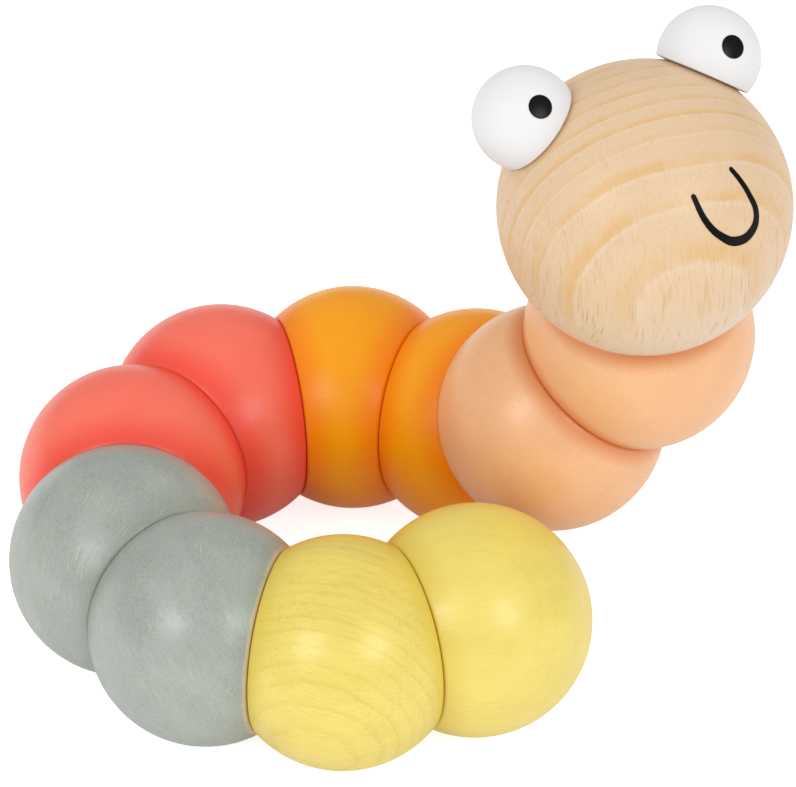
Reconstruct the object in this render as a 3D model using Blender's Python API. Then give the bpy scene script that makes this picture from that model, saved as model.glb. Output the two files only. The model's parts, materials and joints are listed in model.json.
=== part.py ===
"""A wooden inchworm toy: a beech head and ten stained ball segments strung on an elastic cord.

Every segment is a ball with two slanted flats. Neighbours press flat against flat, so each one turns
about the middle of the flat it shares with the next, and the turns give the worm its pose.
Metres, +Z up. The worm lies on z = 0 with its face towards -Y.
"""

import math

import bmesh
import bpy
from mathutils import Matrix, Vector

# Body segments: the flat depth is from a ball's centre to its flats, which slant to each other by the wedge
BALL_DIAMETER = 0.036
FLAT_DEPTH = 0.01075
WEDGE_ANGLE = math.radians(37.6)
RIM_ROUNDING = 0.0008

# Head
HEAD_DIAMETER = 0.045

# Eyes: leaned back and spread apart from the neck's axis, each sunk in a shallow seat and held by a pin
EYE_DIAMETER = 0.016
EYE_FLAT_DEPTH = 0.0027
EYE_SEAT_DEPTH = 0.00075
EYE_RIM_ROUNDING = 0.0003
EYE_BACK_TILT = math.radians(33.5)
EYE_SPREAD = math.radians(39)
PIN_DIAMETER = 0.004
PIN_LENGTH = 0.010
PIN_CHAMFER = 0.0005

# Elastic cord, with its knot and bush at each end
CORD_DIAMETER = 0.003
KNOT_DIAMETER = 0.0066
KNOT_LENGTH = 0.006
BUSH_DIAMETER = 0.009
BUSH_LENGTH = 0.008

# Clearance between pieces that touch
FIT_GAP = 0.0003

# Pose: which way the tail lies, and how the segments of the neck are turned, each on the one before it
TAIL_HEADING = math.radians(202)
TAIL_CLEARANCE = 0.0041
TWISTS = {
    "orange_1": math.radians(-43),
    "peach_2": math.radians(-93),
    "peach_1": math.radians(93),
    "head": math.radians(-73),
}

# Segments from the tail to the head, each with its finish
CHAIN = (
    ("tail", "yellow"),
    ("yellow_1", "yellow"),
    ("grey_2", "grey"),
    ("grey_1", "grey"),
    ("coral_2", "coral"),
    ("coral_1", "coral"),
    ("orange_2", "orange"),
    ("orange_1", "orange"),
    ("peach_2", "peach"),
    ("peach_1", "peach"),
    ("head", "beech"),
)
# The segment that the two ends of the chain turn on, where the neck stands on the coil
BASE_SEGMENT = "orange_1"
# The neck rises at the first of these, so that the second clears the tail
RISING_SEGMENT = "orange_2"
CLEARED_SEGMENT = "peach_2"
RISE_HALVINGS = 40

# Finishes: red, green and blue from 0 to 255, and roughness
FINISHES = {
    "yellow": ((240, 222, 132), 0.45),
    "grey": ((186, 194, 186), 0.50),
    "coral": ((241, 117, 101), 0.45),
    "orange": ((240, 152, 20), 0.45),
    "peach": ((241, 199, 156), 0.45),
    "beech": ((234, 211, 184), 0.45),
    "eye_white": ((245, 245, 245), 0.25),
    "elastic": ((235, 232, 222), 0.80),
    "dowel": ((222, 190, 150), 0.60),
}

# Fineness of the curved surfaces
SEGMENT_SIDES = 28
SEGMENT_BANDS = 8
ROUNDING_STEPS = 2
HEAD_SIDES = 36
TURNED_BANDS = 14
SMALL_SIDES = 20
KNOT_BANDS = 6
CORD_RESOLUTION = 2
MERGE_DISTANCE = 1e-7
SHARP_ANGLE = math.radians(35)

# Sizes that follow from those above
BALL_RADIUS = BALL_DIAMETER / 2
HEAD_RADIUS = HEAD_DIAMETER / 2
EYE_RADIUS = EYE_DIAMETER / 2
FLAT_RADIUS = math.sqrt(BALL_RADIUS**2 - FLAT_DEPTH**2)
HEAD_FLAT_DEPTH = math.sqrt(HEAD_RADIUS**2 - FLAT_RADIUS**2)
CENTRE_STEP = FLAT_DEPTH + FIT_GAP / 2
CORD_BORE_RADIUS = CORD_DIAMETER / 2 + FIT_GAP
BUSH_BORE_RADIUS = BUSH_DIAMETER / 2 + FIT_GAP
BUSH_BORE_DEPTH = BUSH_LENGTH + KNOT_LENGTH + 2 * FIT_GAP
EYE_SEAT_HEIGHT = HEAD_RADIUS - EYE_SEAT_DEPTH
PIN_HOLE_RADIUS = PIN_DIAMETER / 2 + FIT_GAP
PIN_HOLE_DEPTH = (PIN_LENGTH - FIT_GAP) / 2 + FIT_GAP


def clear_scene():
    for thing in list(bpy.data.objects):
        bpy.data.objects.remove(thing, do_unlink=True)


def linear(level):
    """A colour level from 0 to 255, as the linear value that a shader takes."""
    share = level / 255
    return share / 12.92 if share <= 0.04045 else ((share + 0.055) / 1.055) ** 2.4


def give_finish(piece, finish):
    colour, roughness = FINISHES[finish]
    material = bpy.data.materials.new(f"{piece.name}_{finish}")
    material.use_nodes = True
    shader = material.node_tree.nodes["Principled BSDF"]
    shader.inputs["Base Color"].default_value = (*map(linear, colour), 1)
    shader.inputs["Roughness"].default_value = roughness
    shader.inputs["Metallic"].default_value = 0
    piece.data.materials.append(material)


def place(name, data, parent, local=Matrix()):
    piece = bpy.data.objects.new(name, data)
    bpy.context.scene.collection.objects.link(piece)
    piece.parent = parent
    piece.matrix_local = local
    return piece


def finished_mesh(name, shape):
    """A smooth mesh with outward faces, made from a closed shape."""
    bmesh.ops.recalc_face_normals(shape, faces=shape.faces)
    mesh = bpy.data.meshes.new(name)
    shape.to_mesh(mesh)
    shape.free()
    mesh.shade_smooth()
    mesh.set_sharp_from_angle(angle=SHARP_ANGLE)
    return mesh


def turned_mesh(name, profile, sides, closed=False):
    """A profile of (radius, height) points, turned about Z as on a lathe."""
    shape = bmesh.new()
    points = [shape.verts.new((radius, 0, height)) for radius, height in profile]
    edges = [shape.edges.new(ends) for ends in zip(points, points[1:])]
    if closed:
        edges.append(shape.edges.new((points[-1], points[0])))
    bmesh.ops.spin(
        shape,
        geom=points + edges,
        axis=(0, 0, 1),
        cent=(0, 0, 0),
        angle=2 * math.pi,
        steps=sides,
        use_merge=True,
    )
    bmesh.ops.remove_doubles(shape, verts=shape.verts, dist=MERGE_DISTANCE)
    return finished_mesh(name, shape)


def rim_rounding(ball_radius, flat_depth, rounding):
    """(radius, depth) points of a flat's rounded rim, from the flat to the ball's surface."""
    centre_depth = flat_depth - rounding
    centre_radius = math.sqrt((ball_radius - rounding) ** 2 - centre_depth**2)
    last = math.atan2(centre_depth, centre_radius)
    points = []
    for step in range(ROUNDING_STEPS + 1):
        angle = math.pi / 2 + (last - math.pi / 2) * step / ROUNDING_STEPS
        radius = centre_radius + rounding * math.cos(angle)
        points.append((radius, centre_depth + rounding * math.sin(angle)))
    return points


def ball_profile(ball_radius, flat_depth, rounding):
    """(radius, height) points from a flat at height 0, round its rim and over the ball to its top."""
    rim = rim_rounding(ball_radius, flat_depth, rounding)
    profile = [(radius, flat_depth - depth) for radius, depth in rim]
    start = math.atan2(-rim[-1][1], rim[-1][0])
    for band in range(1, TURNED_BANDS):
        angle = start + (math.pi / 2 - start) * band / TURNED_BANDS
        profile.append((ball_radius * math.cos(angle), flat_depth + ball_radius * math.sin(angle)))
    profile.append((0, flat_depth + ball_radius))
    return profile


def add_ring(shape, centre, tilt, radius, stretch=1):
    """A ring of points about an axis tilted from Z towards -Y, stretched along its own Y."""
    across = Matrix.Rotation(tilt, 4, "X") @ Matrix.Scale(stretch, 4, (0, 1, 0))
    matrix = Matrix.Translation(centre) @ across
    return bmesh.ops.create_circle(shape, segments=SEGMENT_SIDES, radius=radius, matrix=matrix)["verts"]


def segment_mesh(name):
    """A ball with two slanted flats and a bore from each flat to the middle, where the bores meet."""
    shape = bmesh.new()
    middle = Vector((0, 0, CENTRE_STEP))
    rim = rim_rounding(BALL_RADIUS, FLAT_DEPTH, RIM_ROUNDING)
    tangent_depth = rim[-1][1]
    pivot_reach = tangent_depth / math.sin(WEDGE_ANGLE / 2)

    def ring_across(tilt, depth, radius):
        axis = Matrix.Rotation(tilt, 3, "X") @ Vector((0, 0, 1))
        return add_ring(shape, middle + depth * axis, tilt, radius)

    rings = [ring_across(0, -FLAT_DEPTH, CORD_BORE_RADIUS)]
    rings += [ring_across(0, -depth, radius) for radius, depth in rim]
    for band in range(1, SEGMENT_BANDS):
        tilt = WEDGE_ANGLE * band / SEGMENT_BANDS
        depth = pivot_reach * math.sin(tilt - WEDGE_ANGLE / 2)
        rings.append(ring_across(tilt, depth, math.sqrt(BALL_RADIUS**2 - depth**2)))
    rings += [ring_across(WEDGE_ANGLE, depth, radius) for radius, depth in reversed(rim)]
    rings.append(ring_across(WEDGE_ANGLE, FLAT_DEPTH, CORD_BORE_RADIUS))
    rings.append(add_ring(shape, middle, WEDGE_ANGLE / 2, CORD_BORE_RADIUS, 1 / math.cos(WEDGE_ANGLE / 2)))

    for first, second in zip(rings, rings[1:] + rings[:1]):
        for side in range(SEGMENT_SIDES):
            shape.faces.new((first[side - 1], first[side], second[side], second[side - 1]))
    return finished_mesh(name, shape)


def link_step():
    """From a segment's first joint to its second."""
    half = Matrix.Translation((0, 0, CENTRE_STEP))
    return half @ Matrix.Rotation(WEDGE_ANGLE, 4, "X") @ half


def chain_frames(rise):
    """Each piece's first joint, with Z along the joint's axis, for a turn of the segment where the neck rises."""
    sideways = Matrix.Rotation(TAIL_HEADING, 4, "Z") @ Matrix.Rotation(math.pi / 2, 4, "Y")
    tail_centre = Matrix.Translation((0, 0, BALL_RADIUS))
    frames = [tail_centre @ sideways @ Matrix.Translation((0, 0, CENTRE_STEP))]
    for name, _ in CHAIN[1:]:
        reach = Matrix() if len(frames) == 1 else link_step()
        twist = rise if name == RISING_SEGMENT else TWISTS.get(name, 0)
        frames.append(frames[-1] @ reach @ Matrix.Rotation(twist, 4, "Z"))
    return frames


def tail_clearance(rise):
    """The gap between the tail and the segment of the neck that passes over it."""
    frames = chain_frames(rise)
    cleared = [name for name, _ in CHAIN].index(CLEARED_SEGMENT)
    tail_centre = frames[0] @ Vector((0, 0, -CENTRE_STEP))
    neck_centre = frames[cleared] @ Vector((0, 0, CENTRE_STEP))
    return (neck_centre - tail_centre).length - BALL_DIAMETER


def rise_that_clears_tail():
    """The least turn that lifts the neck clear of the tail, found by halving."""
    most, least = -math.pi / 2, 0.0
    for _ in range(RISE_HALVINGS):
        rise = (most + least) / 2
        if tail_clearance(rise) < TAIL_CLEARANCE:
            least = rise
        else:
            most = rise
    return most


def make_segment(name, finish, joint, start):
    ball = place(f"{name}_ball", segment_mesh(f"{name}_ball"), joint, start)
    give_finish(ball, finish)

    path = bpy.data.curves.new(f"{name}_cord", "CURVE")
    path.dimensions = "3D"
    path.bevel_depth = CORD_DIAMETER / 2
    path.bevel_resolution = CORD_RESOLUTION
    path.use_fill_caps = True
    spline = path.splines.new("POLY")
    spline.points.add(2)
    middle = Vector((0, 0, CENTRE_STEP))
    way_out = Matrix.Rotation(WEDGE_ANGLE, 3, "X") @ Vector((0, 0, FLAT_DEPTH))
    for point, at in zip(spline.points, (Vector((0, 0, FIT_GAP / 2)), middle, middle + way_out)):
        point.co = (*at, 1)
    cord = place(f"{name}_cord", path, joint, start)
    give_finish(cord, "elastic")


def make_end(name, finish, joint, diameter, flat_depth, sides, inward):
    """The head or the tail: a ball with one flat, and the cord's knot held in it by a bush."""
    bore = [(0, BUSH_BORE_DEPTH), (BUSH_BORE_RADIUS, BUSH_BORE_DEPTH), (BUSH_BORE_RADIUS, 0)]
    profile = bore + ball_profile(diameter / 2, flat_depth, RIM_ROUNDING)
    ball = place(f"{name}_ball", turned_mesh(f"{name}_ball", profile, sides), joint, inward)
    give_finish(ball, finish)

    wall = [
        (CORD_BORE_RADIUS, 0),
        (BUSH_DIAMETER / 2, 0),
        (BUSH_DIAMETER / 2, BUSH_LENGTH),
        (CORD_BORE_RADIUS, BUSH_LENGTH),
    ]
    bush_mesh = turned_mesh(f"{name}_bush", wall, SMALL_SIDES, closed=True)
    bush = place(f"{name}_bush", bush_mesh, joint, inward)
    give_finish(bush, "dowel")

    knot_start = BUSH_LENGTH + FIT_GAP
    strand = [(0, 0), (CORD_DIAMETER / 2, 0), (CORD_DIAMETER / 2, knot_start)]
    first = math.asin(CORD_DIAMETER / KNOT_DIAMETER)
    for band in range(1, KNOT_BANDS):
        angle = first + (math.pi - first) * band / KNOT_BANDS
        share = (math.cos(first) - math.cos(angle)) / (math.cos(first) + 1)
        strand.append((KNOT_DIAMETER / 2 * math.sin(angle), knot_start + KNOT_LENGTH * share))
    strand.append((0, knot_start + KNOT_LENGTH))
    cord = place(f"{name}_cord", turned_mesh(f"{name}_cord", strand, SMALL_SIDES), joint, inward)
    give_finish(cord, "elastic")
    return ball


def make_eye(side, turn, head, head_frame):
    """An eye on its seat, with its pin. The seat and the pin's hole are cut in the head."""
    lean = Matrix.Rotation(EYE_BACK_TILT, 4, "X") @ Matrix.Rotation(turn, 4, "Y")
    axis_frame = head_frame @ Matrix.Translation((0, 0, HEAD_FLAT_DEPTH)) @ lean
    eye_frame = axis_frame @ Matrix.Translation((0, 0, EYE_SEAT_HEIGHT + FIT_GAP))

    hole = [(0, PIN_HOLE_DEPTH), (PIN_HOLE_RADIUS, PIN_HOLE_DEPTH), (PIN_HOLE_RADIUS, 0)]
    profile = hole + ball_profile(EYE_RADIUS, EYE_FLAT_DEPTH, EYE_RIM_ROUNDING)
    eye = place(f"eye_{side}", turned_mesh(f"eye_{side}", profile, SMALL_SIDES), head.parent, eye_frame)
    give_finish(eye, "eye_white")

    end = PIN_LENGTH / 2
    radius = PIN_DIAMETER / 2
    shank = [(radius - PIN_CHAMFER, -end), (radius, PIN_CHAMFER - end), (radius, end - PIN_CHAMFER)]
    shank = [(0, -end)] + shank + [(radius - PIN_CHAMFER, end), (0, end)]
    pin_frame = axis_frame @ Matrix.Translation((0, 0, EYE_SEAT_HEIGHT + FIT_GAP / 2))
    pin_mesh = turned_mesh(f"eye_pin_{side}", shank, SMALL_SIDES)
    pin = place(f"eye_pin_{side}", pin_mesh, head.parent, pin_frame)
    give_finish(pin, "dowel")

    bottom = EYE_SEAT_HEIGHT - PIN_HOLE_DEPTH
    top = HEAD_DIAMETER
    steps = [(0, bottom), (PIN_HOLE_RADIUS, bottom), (PIN_HOLE_RADIUS, EYE_SEAT_HEIGHT)]
    steps += [(EYE_RADIUS, EYE_SEAT_HEIGHT), (EYE_RADIUS, top), (0, top)]
    cutter_mesh = turned_mesh(f"eye_seat_{side}", steps, SMALL_SIDES)
    cutter = place(f"eye_seat_{side}", cutter_mesh, head.parent, axis_frame)
    cutter.hide_render = True
    cutter.display_type = "WIRE"
    seat = head.modifiers.new(f"eye_seat_{side}", "BOOLEAN")
    seat.operation = "DIFFERENCE"
    seat.solver = "EXACT"
    seat.object = cutter


def stand_on_origin(base):
    """Moves the worm so that the middle of its box's underside is the origin."""
    bpy.context.view_layer.update()
    solids = [thing for thing in bpy.data.objects if thing.type == "MESH" and not thing.hide_render]
    corners = [solid.matrix_world @ vertex.co for solid in solids for vertex in solid.data.vertices]
    low = Vector(map(min, zip(*corners)))
    high = Vector(map(max, zip(*corners)))
    base.location -= Vector(((low.x + high.x) / 2, (low.y + high.y) / 2, low.z))


def main():
    clear_scene()
    tail_inward = Matrix.Translation((0, 0, -FIT_GAP / 2)) @ Matrix.Rotation(math.pi, 4, "X")
    head_inward = Matrix.Translation((0, 0, FIT_GAP / 2))
    frames = chain_frames(rise_that_clears_tail())
    base = [name for name, _ in CHAIN].index(BASE_SEGMENT)
    joints = {}
    for index in (*range(base, len(CHAIN)), *reversed(range(base))):
        name, finish = CHAIN[index]
        towards_base = index + (index < base) - (index > base)
        joint_frame = frames[index + (index < base)]
        carrier, carrier_frame = joints.get(towards_base, (None, Matrix()))
        joint = place(f"{name}_joint", None, carrier, carrier_frame.inverted() @ joint_frame)
        joints[index] = joint, joint_frame
        if name == "tail":
            make_end(name, finish, joint, BALL_DIAMETER, FLAT_DEPTH, SEGMENT_SIDES, tail_inward)
        elif name == "head":
            head = make_end(name, finish, joint, HEAD_DIAMETER, HEAD_FLAT_DEPTH, HEAD_SIDES, head_inward)
            make_eye("right", EYE_SPREAD, head, head_inward)
            make_eye("left", -EYE_SPREAD, head, head_inward)
        else:
            make_segment(name, finish, joint, joint_frame.inverted() @ frames[index])
    stand_on_origin(joints[base][0])


main()
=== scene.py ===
"""Looks of a wooden inchworm toy: a beech head with white eyes and ten stained segments on one cord.

Run as a script, it models each turned piece in its place, gives every surface its finish and sets
the studio.
"""

import json
import math

import bpy
from bpy.props import FloatProperty, FloatVectorProperty, PointerProperty
from mathutils import Matrix, Vector

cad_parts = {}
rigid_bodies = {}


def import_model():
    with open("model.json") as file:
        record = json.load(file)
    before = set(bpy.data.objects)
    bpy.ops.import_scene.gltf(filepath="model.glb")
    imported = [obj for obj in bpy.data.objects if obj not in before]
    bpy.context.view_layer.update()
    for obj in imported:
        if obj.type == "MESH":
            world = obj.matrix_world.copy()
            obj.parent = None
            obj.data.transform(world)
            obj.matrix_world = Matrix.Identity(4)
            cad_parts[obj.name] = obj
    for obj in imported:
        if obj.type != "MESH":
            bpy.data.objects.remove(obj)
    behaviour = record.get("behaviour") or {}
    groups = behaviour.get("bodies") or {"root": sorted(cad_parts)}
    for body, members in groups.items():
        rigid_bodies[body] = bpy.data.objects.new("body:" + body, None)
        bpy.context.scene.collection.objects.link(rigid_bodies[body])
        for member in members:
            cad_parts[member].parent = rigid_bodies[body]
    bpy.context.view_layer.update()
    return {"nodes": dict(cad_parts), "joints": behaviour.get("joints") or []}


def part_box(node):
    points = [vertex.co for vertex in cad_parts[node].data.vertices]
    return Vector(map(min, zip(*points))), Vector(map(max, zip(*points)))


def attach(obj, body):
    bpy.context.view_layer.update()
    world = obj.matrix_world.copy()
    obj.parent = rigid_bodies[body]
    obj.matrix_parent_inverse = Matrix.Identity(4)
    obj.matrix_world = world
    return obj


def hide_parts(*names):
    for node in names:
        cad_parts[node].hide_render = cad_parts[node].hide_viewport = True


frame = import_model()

bl_info = {
    "name": "Wooden Inchworm Toy",
    "version": (1, 0, 0),
    "blender": (4, 5, 0),
    "location": "3D View > Sidebar > Inchworm",
    "description": "Turned pieces, wood finishes and studio of a wooden inchworm toy",
    "category": "Object",
}

# The joint that each body turns on
JOINTS = {joint["child"]: joint for joint in frame["joints"]}


def way_to_base(body):
    """The bodies from this one to the one that all the others turn on."""
    way = [body]
    while way[-1] in JOINTS:
        way.append(JOINTS[way[-1]]["parent"])
    return way


# The chain of bodies from tail to head
CHAIN = way_to_base("tail") + way_to_base("head")[-2::-1]
SEGMENTS = CHAIN[1:-1]
UP = Vector((0, 0, 1))
MM = 0.001

# Fineness of the turned surfaces, chosen so that no ring of a ball lies on the rim of its flat
SEGMENT_SIDES, SEGMENT_RINGS = 128, 72
HEAD_SIDES, HEAD_RINGS = 176, 96
EYE_SIDES, EYE_RINGS = 96, 40
PUPIL_SIDES, PUPIL_RINGS = 96, 180
ROUNDING_STEPS, PAINT_ROUNDING_STEPS = 4, 2
SMILE_STEPS, SMILE_ROUNDING_STEPS = 16, 6
SMOOTH_ANGLE = math.radians(30)
# Points closer than this are one point, and a face is a flat's within these bounds
WELD = 1e-6
FLAT_REACH = 10 * WELD
FLAT_ALIGNMENT = 0.999

# How each segment's wood lies as the worm is curled: along its fibres, and across its growth rings
GRAIN = {
    "tail": ((0.98, 0.08, 0.16), (0.1, -0.8, 0.55)),
    "yellow_1": ((0.95, -0.2, -0.18), (-0.3, -0.8, -0.45)),
    "grey_2": ((0.5, -0.49, -0.7), (-0.4, -0.75, 0.3)),
    "grey_1": ((0.15, 0.35, 0.9), (-0.5, -0.7, 0.4)),
    "coral_2": ((0.6, 0.5, 0.6), (-0.3, -0.7, 0.6)),
    "coral_1": ((0.5, -0.3, 0.8), (0.2, -0.9, 0.3)),
    "orange_2": ((0.9, 0.2, 0.3), (0.1, -0.6, 0.8)),
    "orange_1": ((0.3, 0.6, 0.7), (-0.6, -0.6, 0.5)),
    "peach_2": ((0.7, 0.2, -0.6), (0.2, -0.9, 0.3)),
    "peach_1": ((-0.5, 0.6, 0.5), (0.3, -0.8, 0.5)),
}
# Segments whose wood shows less than the others', and those whose first rim is rubbed bare
CALM_WOOD = {"tail": 0.35}
WORN_RIMS = {"grey_2": 0.8}
LEAST_WEAR = 0.05


def painted(red, green, blue):
    """A colour given by its levels from 0 to 255."""
    return (red / 255, green / 255, blue / 255)


def size_property(name, description, default):
    return FloatProperty(name=name, description=description, default=default, unit="LENGTH", precision=5)


def colour_property(name, description, levels):
    return FloatVectorProperty(
        name=name,
        description=description,
        default=painted(*levels),
        subtype="COLOR_GAMMA",
        size=3,
        min=0,
        max=1,
    )


class InchwormSizes(bpy.types.PropertyGroup):
    """Sizes of the turned pieces and the paint"""

    ball_diameter: size_property("Ball diameter", "Width of a body segment", 36 * MM)
    rim_rounding: size_property("Rim rounding", "Radius of the rounded rim of each flat", 0.8 * MM)
    cord_bore: size_property("Cord bore", "Diameter of the hole for the cord", 3.6 * MM)
    joint_gap: size_property("Joint gap", "Space between two flats that meet", 0.1 * MM)
    bush_bore: size_property("Bush bore", "Diameter of the hole for a bush", 9.6 * MM)
    bush_depth: size_property("Bush bore depth", "Depth of the hole for a bush and the knot", 14.6 * MM)
    head_diameter: size_property("Head diameter", "Width of the head", 45 * MM)
    eye_diameter: size_property("Eye diameter", "Width of an eye", 16 * MM)
    eye_flat_depth: size_property("Eye flat depth", "From an eye's centre to its flat", 2.7 * MM)
    eye_rounding: size_property("Eye rim rounding", "Radius of the rim of an eye's flat", 0.3 * MM)
    seat_depth: size_property("Eye seat depth", "How deep an eye's seat is cut into the head", 0.75 * MM)
    glue_line: size_property("Glue line", "Thickness of the glue under an eye", 0.05 * MM)
    pin_bore: size_property("Pin bore", "Diameter of the hole for an eye's pin", 4.6 * MM)
    pin_depth: size_property("Pin bore depth", "Depth of the hole for an eye's pin", 5.15 * MM)
    pupil_diameter: size_property("Pupil diameter", "Width of a painted pupil", 3.7 * MM)
    smile_width: size_property("Smile width", "Width of the painted smile's stroke", 1.4 * MM)
    paint_height: size_property("Paint height", "How far the paint stands proud of the wood", 0.06 * MM)


class InchwormColours(bpy.types.PropertyGroup):
    """Colours of the stains, the wood and the paint"""

    yellow: colour_property("Yellow", "Stain of the tail and its neighbour", (234, 213, 102))
    grey: colour_property("Grey", "Stain of the grey pair", (163, 171, 162))
    coral: colour_property("Coral", "Stain of the coral pair", (248, 114, 92))
    orange: colour_property("Orange", "Stain of the orange pair", (251, 163, 0))
    peach: colour_property("Peach", "Stain of the peach pair", (238, 182, 131))
    beech: colour_property("Beech", "Early wood of the head", (226, 204, 179))
    honey: colour_property("Honey", "Late wood of the head", (223, 182, 128))
    fleck: colour_property("Fleck", "Ray flecks in bare wood", (198, 148, 102))
    bare: colour_property("Bare wood", "Wood that shows where the stain is rubbed off", (214, 189, 150))
    eye: colour_property("Eye white", "Lacquer of the eyes", (232, 232, 234))
    black: colour_property("Black paint", "Paint of the pupils and the smile", (9, 7, 6))
    elastic: colour_property("Elastic", "Cover of the cord", (235, 232, 222))
    dowel: colour_property("Dowel", "Bushes and pins", (222, 190, 150))


def sizes():
    return bpy.context.scene.inchworm_sizes


def colour(name):
    """One of the toy's colours, as the linear value that a shader takes."""
    levels = getattr(bpy.context.scene.inchworm_colours, name)
    return (*(linear(level) for level in levels), 1)


def linear(level):
    return level / 12.92 if level <= 0.04045 else ((level + 0.055) / 1.055) ** 2.4


def shade(rgba, factor):
    """A colour made lighter or darker."""
    return (*(min(1, channel * factor) for channel in rgba[:3]), 1)


def coats(rgba, count):
    """A stain's colour in several coats."""
    return (*(channel**count for channel in rgba[:3]), 1)


# Where the pieces lie


def axes_matrix(centre, x_axis, z_axis):
    """A frame at a centre, from two of its axes."""
    axes = Matrix((x_axis, z_axis.cross(x_axis), z_axis)).transposed()
    return Matrix.Translation(centre) @ axes.to_4x4()


def joint_line(body):
    """The joint between a body and the one before it: its place, and its axis towards the head."""
    before = CHAIN[CHAIN.index(body) - 1]
    joint = JOINTS.get(body)
    if joint and joint["parent"] == before:
        return Vector(joint["pos_m"]), Vector(joint["axis"]).normalized()
    joint = JOINTS[before]
    return Vector(joint["pos_m"]), -Vector(joint["axis"]).normalized()


def segment_frame(body):
    """A segment's centre, with Z midway between its two joint axes and X along their common normal."""
    start, way_in = joint_line(body)
    end, way_out = joint_line(CHAIN[CHAIN.index(body) + 1])
    step = (end - start).length / (way_in + way_out).length
    middle = (way_in + way_out).normalized()
    return axes_matrix(start + step * way_in, way_in.cross(way_out).normalized(), middle)


def flat_depth():
    """From a segment's centre to its flats."""
    start, way_in = joint_line(SEGMENTS[0])
    end, way_out = joint_line(SEGMENTS[1])
    return (end - start).length / (way_in + way_out).length - sizes().joint_gap / 2


def half_wedge():
    """Half the angle between a segment's two flats."""
    return joint_line(SEGMENTS[0])[1].angle(joint_line(SEGMENTS[1])[1]) / 2


def flat_radius():
    return math.sqrt((sizes().ball_diameter / 2) ** 2 - flat_depth() ** 2)


def tail_frame():
    """The tail's centre, with Z towards its flat."""
    start, axis = joint_line(SEGMENTS[0])
    centre = start - (flat_depth() + sizes().joint_gap / 2) * axis
    return axes_matrix(centre, UP.cross(axis).normalized(), axis)


def head_flat_depth():
    return math.sqrt((sizes().head_diameter / 2) ** 2 - flat_radius() ** 2)


def pin_middle(side):
    low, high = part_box(f"eye_pin_{side}")
    return (low + high) / 2


def head_frame():
    """The head's centre, with Z along the neck, X to the worm's right and Y to its front."""
    start, axis = joint_line(CHAIN[-1])
    right = (pin_middle("right") - pin_middle("left")).normalized()
    centre = start + (head_flat_depth() + sizes().joint_gap / 2) * axis
    return axes_matrix(centre, right, axis)


def eye_axis(side):
    """The way that an eye points from the head's centre, in the head's frame."""
    return (head_frame().inverted() @ pin_middle(side)).normalized()


# Modelling


def pick(piece):
    """Selects one piece alone."""
    bpy.ops.object.select_all(action="DESELECT")
    piece.select_set(True)
    bpy.context.view_layer.objects.active = piece


def start_edit(piece):
    pick(piece)
    bpy.ops.object.mode_set(mode="EDIT")


def end_edit():
    bpy.ops.object.mode_set(mode="OBJECT")


def select_flat(piece, axis, depth):
    """Selects the face of a flat, which lies square to an axis at a depth from the origin."""
    bpy.ops.mesh.select_all(action="DESELECT")
    bpy.ops.object.mode_set(mode="OBJECT")
    for face in piece.data.polygons:
        on_plane = abs(face.center.dot(axis) - depth) < FLAT_REACH
        face.select = on_plane and face.normal.dot(axis) > FLAT_ALIGNMENT
    bpy.ops.object.mode_set(mode="EDIT")
    bpy.ops.mesh.select_mode(type="FACE")


def cut_flat(piece, radius, axis, depth, rounding, bore_radius, bore_depth):
    """Cuts a flat on a ball, rounds its rim and drills a bore from its middle."""
    bpy.ops.mesh.select_all(action="SELECT")
    bpy.ops.mesh.bisect(
        plane_co=axis * depth, plane_no=axis, use_fill=True, clear_outer=True, threshold=WELD
    )
    rim_radius = math.sqrt(radius**2 - depth**2)
    setback = rounding * math.tan(math.acos(depth / radius) / 2)
    if rounding:
        bpy.ops.mesh.bevel(offset=setback, segments=ROUNDING_STEPS, affect="EDGES")
    select_flat(piece, axis, depth)
    bpy.ops.mesh.inset(thickness=rim_radius - setback - bore_radius, depth=0)
    bpy.ops.mesh.extrude_region_move(TRANSFORM_OT_translate={"value": -axis * bore_depth})


def turned_ball(name, radius, axis, sides, rings):
    """A ball turned about an axis, left in edit mode."""
    bpy.ops.object.select_all(action="DESELECT")
    bpy.ops.mesh.primitive_uv_sphere_add(
        radius=radius, segments=sides, ring_count=rings, rotation=UP.rotation_difference(axis).to_euler()
    )
    ball = bpy.context.object
    ball.name = name
    ball.data.name = name
    bpy.ops.object.transform_apply(location=False, rotation=True, scale=True)
    start_edit(ball)
    return ball


def mark_rims(piece, radius, flats):
    """Stores each point's distances from the nearest rim and from the first flat's rim, in millimetres."""
    first, nearest = [], []
    for vertex in piece.data.vertices:
        distances = []
        for axis, depth in flats:
            along = vertex.co.dot(axis)
            out = (vertex.co - along * axis).length
            rim = math.sqrt(radius**2 - depth**2)
            distances.append(math.hypot(out - rim, along - depth) / MM)
        first.append(distances[0])
        nearest.append(min(distances))
    for name, values in (("first_rim_distance", first), ("rim_distance", nearest)):
        piece.data.attributes.new(name, "FLOAT", "POINT").data.foreach_set("value", values)


def smooth(piece):
    pick(piece)
    bpy.ops.object.shade_smooth_by_angle(angle=SMOOTH_ANGLE)


def settle(piece, matrix):
    """Moves a finished piece to its place and keeps the place in its mesh."""
    piece.matrix_world = matrix
    pick(piece)
    bpy.ops.object.transform_apply(location=True, rotation=True, scale=True)


def copy_of(master, name):
    """A copy of a modelled piece, with its own mesh."""
    piece = master.copy()
    piece.data = master.data.copy()
    piece.name = piece.data.name = name
    bpy.context.collection.objects.link(piece)
    return piece


def finish(piece, material):
    """Gives a piece one finish all over."""
    piece.data.materials.clear()
    piece.data.materials.append(material)


def dress(piece, body, slot, material, *nodes):
    """Gives a piece its finish, the body it moves with and the solids that it stands for."""
    finish(piece, material)
    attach(piece, body)
    if nodes:
        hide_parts(*nodes)


# Shader building


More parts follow.
